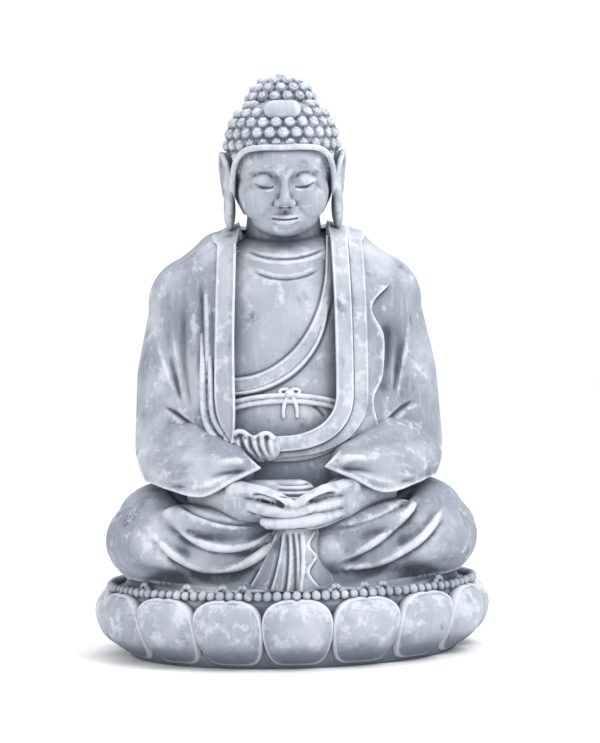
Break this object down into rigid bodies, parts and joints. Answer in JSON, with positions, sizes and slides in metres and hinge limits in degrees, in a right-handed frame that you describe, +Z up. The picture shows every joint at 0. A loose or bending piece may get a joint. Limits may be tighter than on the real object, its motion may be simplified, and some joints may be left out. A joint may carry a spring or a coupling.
{
  "type": "seated buddha garden statue",
  "caption": "Seated meditating figure in draped robes on an oval lotus base, cast in weathered blue-grey stone mix.",
  "frame": {"origin": "centre of the base's underside, on the surface that the statue stands on", "axes": "+Z up, the figure faces -Y, and its own right hand is at -X"},
  "size_m": [0.472, 0.4068, 0.7],
  "materials": {
    "cast_stone": "weathered matt, blue-grey",
    "pale_cast_stone": "weathered matt, rubbed paler",
    "cement_board": "raw matt",
    "zinc_steel": "zinc-plated"
  },
  "bodies": {
    "root": {"hair_cap": "cast_stone", "crossed_legs": "cast_stone", "robe_mantle": "cast_stone", "head": "pale_cast_stone", "bead_course": "pale_cast_stone", "lotus_drum": "cast_stone", "left_hand": "pale_cast_stone", "crown_knob": "cast_stone", "right_hand": "pale_cast_stone", "chest_panel": "pale_cast_stone", "right_sleeve": "cast_stone", "left_sleeve": "cast_stone", "closing_plate": "cement_board", "right_ear": "pale_cast_stone", "left_ear": "pale_cast_stone", "right_lapel": "pale_cast_stone", "left_lapel": "pale_cast_stone", "under_robe_band": "pale_cast_stone", "bow_knot": "pale_cast_stone", "waist_cord": "pale_cast_stone", "lotus_petal_05": "pale_cast_stone", "lotus_petal_13": "pale_cast_stone", "lotus_petal_01": "pale_cast_stone", "lotus_petal_09": "pale_cast_stone", "lotus_petal_03": "pale_cast_stone", "lotus_petal_06": "pale_cast_stone", "lotus_petal_08": "pale_cast_stone", "lotus_petal_11": "pale_cast_stone", "lotus_petal_14": "pale_cast_stone", "lotus_petal_16": "pale_cast_stone", "lotus_petal_04": "pale_cast_stone", "lotus_petal_12": "pale_cast_stone", "lotus_petal_07": "pale_cast_stone", "lotus_petal_15": "pale_cast_stone", "lotus_petal_02": "pale_cast_stone", "lotus_petal_10": "pale_cast_stone", "front_pleats": "cast_stone", "crown_jewel": "pale_cast_stone", "lower_washer": "zinc_steel", "upper_washer": "zinc_steel", "lower_nut": "zinc_steel", "upper_nut": "zinc_steel", "tie_rod": "zinc_steel", "right_dowel": "zinc_steel", "left_dowel": "zinc_steel", "urna": "pale_cast_stone"}
  },
  "joints": []
}
